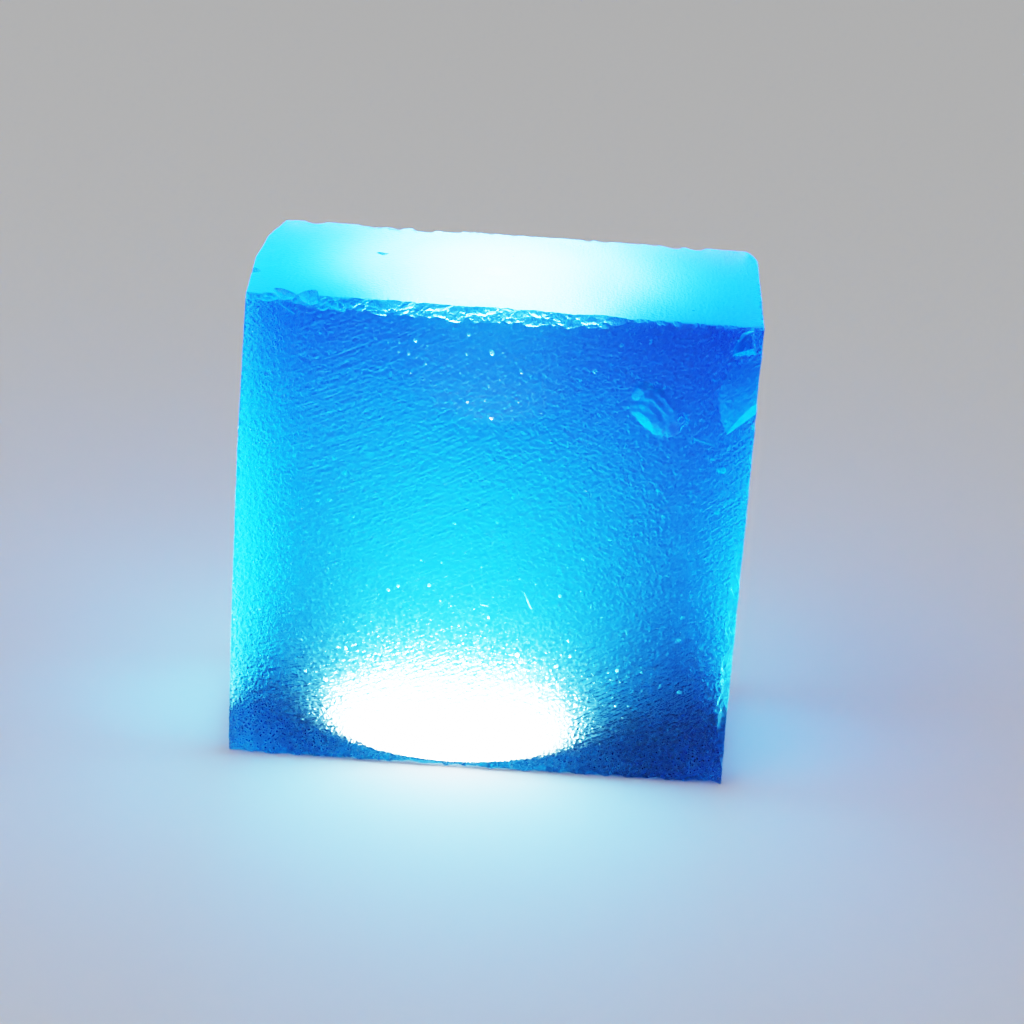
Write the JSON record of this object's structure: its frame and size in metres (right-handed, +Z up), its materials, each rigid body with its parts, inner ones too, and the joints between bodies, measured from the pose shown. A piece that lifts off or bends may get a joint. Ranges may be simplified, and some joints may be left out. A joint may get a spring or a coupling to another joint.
{
  "type": "glass block",
  "caption": "Sawn and ground rectangular block of translucent blue slab glass with chipped edges, standing on its flat bottom face.",
  "frame": {"origin": "centre of the bottom face, on the surface that the block stands on", "axes": "+X along the width, +Y through the thickness from the front face to the back face, +Z up"},
  "size_m": [0.05, 0.0226, 0.049],
  "materials": {
    "blue_glass": "blue glass coloured through, translucent, with a finely ground and pitted skin and glossy shell-shaped breaks"
  },
  "bodies": {
    "root": {"glass_block": "blue_glass"}
  },
  "joints": []
}
